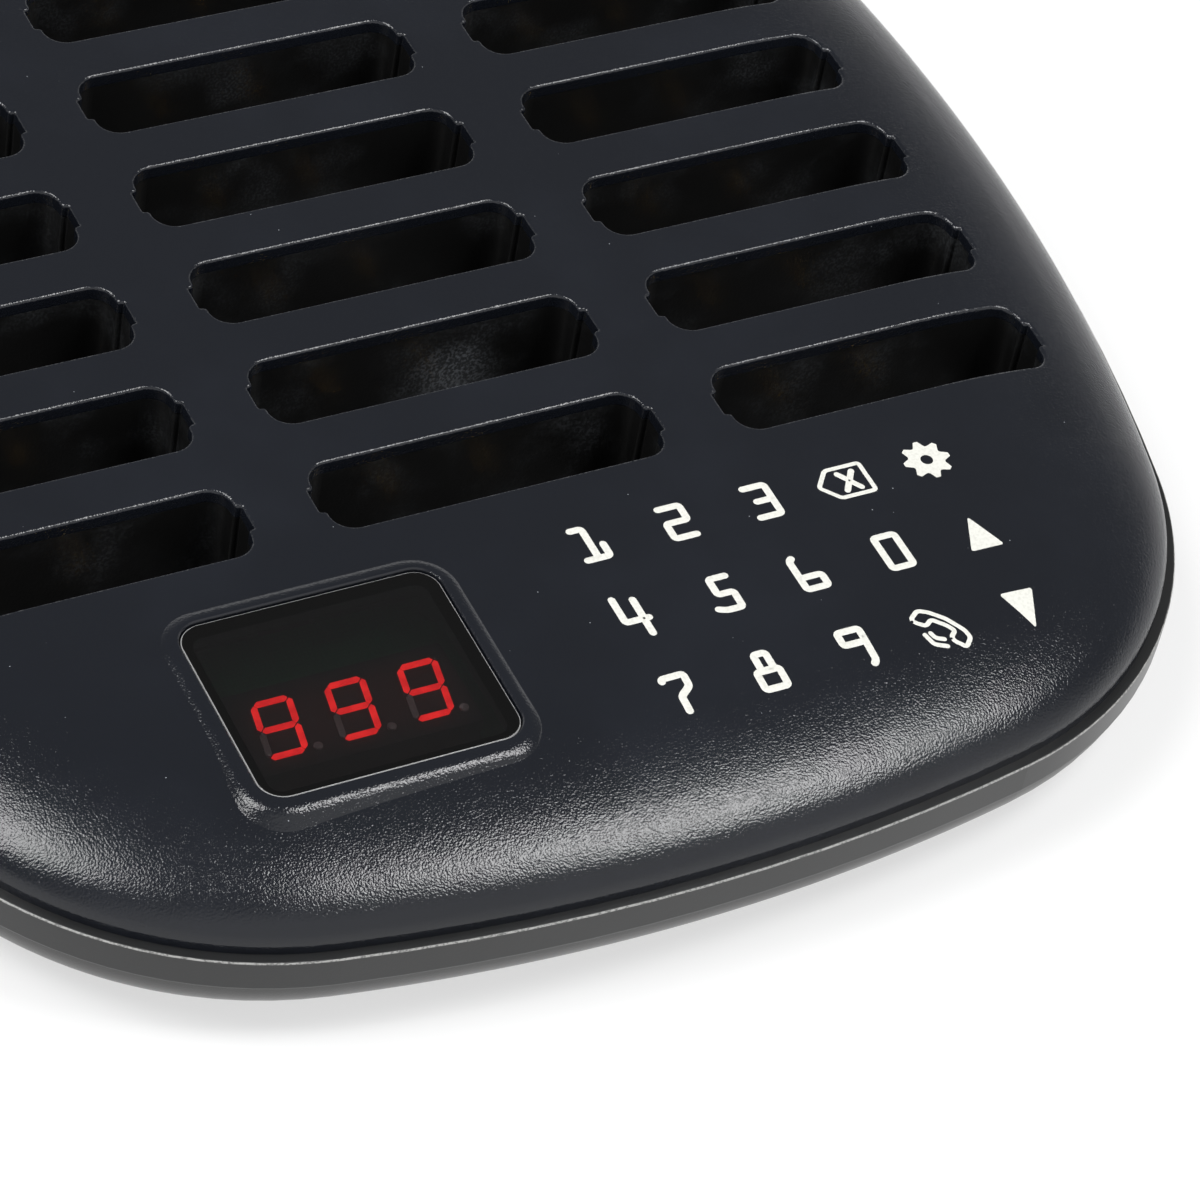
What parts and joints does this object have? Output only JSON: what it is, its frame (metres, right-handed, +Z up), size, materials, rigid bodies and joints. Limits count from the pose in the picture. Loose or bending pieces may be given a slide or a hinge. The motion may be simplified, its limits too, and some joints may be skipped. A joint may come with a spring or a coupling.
{
  "type": "guest pager base station",
  "caption": "Low counter base with a touch keypad, a lit number display and columns of charging slots for guest pagers.",
  "frame": {"origin": "on the table under the centre of the plan outline", "axes": "+X to the user's right along the slots, +Y to the rear, +Z up; the keypad and display are at the front, -Y"},
  "size_m": [0.223, 0.26, 0.0265],
  "materials": {
    "cover_plastic": "fine moulded grain",
    "rim_plastic": "fine satin grain",
    "belly_plastic": "fine moulded grain",
    "lens": "smoked, polished",
    "display_body": "smooth",
    "segment_lit": "lit red",
    "segment_dark": "unlit",
    "circuit_board": "solder mask",
    "copper_gold": "gold plated",
    "spacer": "clear",
    "chip_black": "moulded",
    "shield_tin": "tinned",
    "wire_black": "insulated",
    "connector_white": "moulded",
    "ribbon_white": "flat flex",
    "capacitor_sleeve": "can",
    "tray_plastic": "fine moulded grain",
    "barrel_brass": "plated",
    "switch_black": "moulded",
    "foot_rubber": "soft",
    "screw_steel": "black zinc"
  },
  "bodies": {
    "base": {"top_cover": "cover_plastic", "rim_frame": "rim_plastic", "bottom_cover": "belly_plastic", "display_lens": "lens", "display_module": "display_body", "display_board": "circuit_board", "touch_board": "circuit_board", "touch_pads": "copper_gold", "touch_spacer": "spacer", "main_board": "circuit_board", "mcu_chip": "chip_black", "radio_module": "circuit_board", "radio_shield": "shield_tin", "antenna_wire": "wire_black", "buzzer": "chip_black", "power_capacitors": "capacitor_sleeve", "power_inductor": "chip_black", "board_connectors": "connector_white", "board_ribbons": "ribbon_white", "charge_links": "ribbon_white", "power_leads": "wire_black", "port_panel": "belly_plastic", "dc_inlet": "switch_black", "inlet_pin": "copper_gold", "switch_housing": "switch_black", "rubber_feet": "foot_rubber", "case_screws": "screw_steel", "board_screws": "screw_steel", "lit_segments": "segment_lit", "dark_segments": "segment_dark", "left_slot_tray": "tray_plastic", "left_contact_board": "circuit_board", "left_contact_barrels": "barrel_brass", "middle_slot_tray": "tray_plastic", "middle_contact_board": "circuit_board", "middle_contact_barrels": "barrel_brass", "right_slot_tray": "tray_plastic", "right_contact_board": "circuit_board", "right_contact_barrels": "barrel_brass"},
    "pins_left_1": {"contact_pins_left_1": "copper_gold"},
    "pins_left_2": {"contact_pins_left_2": "copper_gold"},
    "pins_left_3": {"contact_pins_left_3": "copper_gold"},
    "pins_left_4": {"contact_pins_left_4": "copper_gold"},
    "pins_left_5": {"contact_pins_left_5": "copper_gold"},
    "pins_left_6": {"contact_pins_left_6": "copper_gold"},
    "pins_middle_1": {"contact_pins_middle_1": "copper_gold"},
    "pins_middle_2": {"contact_pins_middle_2": "copper_gold"},
    "pins_middle_3": {"contact_pins_middle_3": "copper_gold"},
    "pins_middle_4": {"contact_pins_middle_4": "copper_gold"},
    "pins_middle_5": {"contact_pins_middle_5": "copper_gold"},
    "pins_middle_6": {"contact_pins_middle_6": "copper_gold"},
    "pins_middle_7": {"contact_pins_middle_7": "copper_gold"},
    "pins_middle_8": {"contact_pins_middle_8": "copper_gold"},
    "pins_right_1": {"contact_pins_right_1": "copper_gold"},
    "pins_right_2": {"contact_pins_right_2": "copper_gold"},
    "pins_right_3": {"contact_pins_right_3": "copper_gold"},
    "pins_right_4": {"contact_pins_right_4": "copper_gold"},
    "pins_right_5": {"contact_pins_right_5": "copper_gold"},
    "pins_right_6": {"contact_pins_right_6": "copper_gold"},
    "rocker": {"switch_rocker": "switch_black"}
  },
  "joints": [
    {"name": "press_left_1", "type": "slide", "parent": "base", "child": "pins_left_1", "axis": [0, 0, -1], "range_m": [0, 0.0012], "stiffness_N_per_m": 700, "springref_m": -0.0006},
    {"name": "press_left_2", "type": "slide", "parent": "base", "child": "pins_left_2", "axis": [0, 0, -1], "range_m": [0, 0.0012], "stiffness_N_per_m": 700, "springref_m": -0.0006},
    {"name": "press_left_3", "type": "slide", "parent": "base", "child": "pins_left_3", "axis": [0, 0, -1], "range_m": [0, 0.0012], "stiffness_N_per_m": 700, "springref_m": -0.0006},
    {"name": "press_left_4", "type": "slide", "parent": "base", "child": "pins_left_4", "axis": [0, 0, -1], "range_m": [0, 0.0012], "stiffness_N_per_m": 700, "springref_m": -0.0006},
    {"name": "press_left_5", "type": "slide", "parent": "base", "child": "pins_left_5", "axis": [0, 0, -1], "range_m": [0, 0.0012], "stiffness_N_per_m": 700, "springref_m": -0.0006},
    {"name": "press_left_6", "type": "slide", "parent": "base", "child": "pins_left_6", "axis": [0, 0, -1], "range_m": [0, 0.0012], "stiffness_N_per_m": 700, "springref_m": -0.0006},
    {"name": "press_middle_1", "type": "slide", "parent": "base", "child": "pins_middle_1", "axis": [0, 0, -1], "range_m": [0, 0.0012], "stiffness_N_per_m": 700, "springref_m": -0.0006},
    {"name": "press_middle_2", "type": "slide", "parent": "base", "child": "pins_middle_2", "axis": [0, 0, -1], "range_m": [0, 0.0012], "stiffness_N_per_m": 700, "springref_m": -0.0006},
    {"name": "press_middle_3", "type": "slide", "parent": "base", "child": "pins_middle_3", "axis": [0, 0, -1], "range_m": [0, 0.0012], "stiffness_N_per_m": 700, "springref_m": -0.0006},
    {"name": "press_middle_4", "type": "slide", "parent": "base", "child": "pins_middle_4", "axis": [0, 0, -1], "range_m": [0, 0.0012], "stiffness_N_per_m": 700, "springref_m": -0.0006},
    {"name": "press_middle_5", "type": "slide", "parent": "base", "child": "pins_middle_5", "axis": [0, 0, -1], "range_m": [0, 0.0012], "stiffness_N_per_m": 700, "springref_m": -0.0006},
    {"name": "press_middle_6", "type": "slide", "parent": "base", "child": "pins_middle_6", "axis": [0, 0, -1], "range_m": [0, 0.0012], "stiffness_N_per_m": 700, "springref_m": -0.0006},
    {"name": "press_middle_7", "type": "slide", "parent": "base", "child": "pins_middle_7", "axis": [0, 0, -1], "range_m": [0, 0.0012], "stiffness_N_per_m": 700, "springref_m": -0.0006},
    {"name": "press_middle_8", "type": "slide", "parent": "base", "child": "pins_middle_8", "axis": [0, 0, -1], "range_m": [0, 0.0012], "stiffness_N_per_m": 700, "springref_m": -0.0006},
    {"name": "press_right_1", "type": "slide", "parent": "base", "child": "pins_right_1", "axis": [0, 0, -1], "range_m": [0, 0.0012], "stiffness_N_per_m": 700, "springref_m": -0.0006},
    {"name": "press_right_2", "type": "slide", "parent": "base", "child": "pins_right_2", "axis": [0, 0, -1], "range_m": [0, 0.0012], "stiffness_N_per_m": 700, "springref_m": -0.0006},
    {"name": "press_right_3", "type": "slide", "parent": "base", "child": "pins_right_3", "axis": [0, 0, -1], "range_m": [0, 0.0012], "stiffness_N_per_m": 700, "springref_m": -0.0006},
    {"name": "press_right_4", "type": "slide", "parent": "base", "child": "pins_right_4", "axis": [0, 0, -1], "range_m": [0, 0.0012], "stiffness_N_per_m": 700, "springref_m": -0.0006},
    {"name": "press_right_5", "type": "slide", "parent": "base", "child": "pins_right_5", "axis": [0, 0, -1], "range_m": [0, 0.0012], "stiffness_N_per_m": 700, "springref_m": -0.0006},
    {"name": "press_right_6", "type": "slide", "parent": "base", "child": "pins_right_6", "axis": [0, 0, -1], "range_m": [0, 0.0012], "stiffness_N_per_m": 700, "springref_m": -0.0006},
    {"name": "power_rocker", "type": "hinge", "parent": "base", "child": "rocker", "pos_m": [-0.009, 0.1226, 0.0101], "axis": [0, 0, 1], "range_deg": [0, 20]}
  ]
}
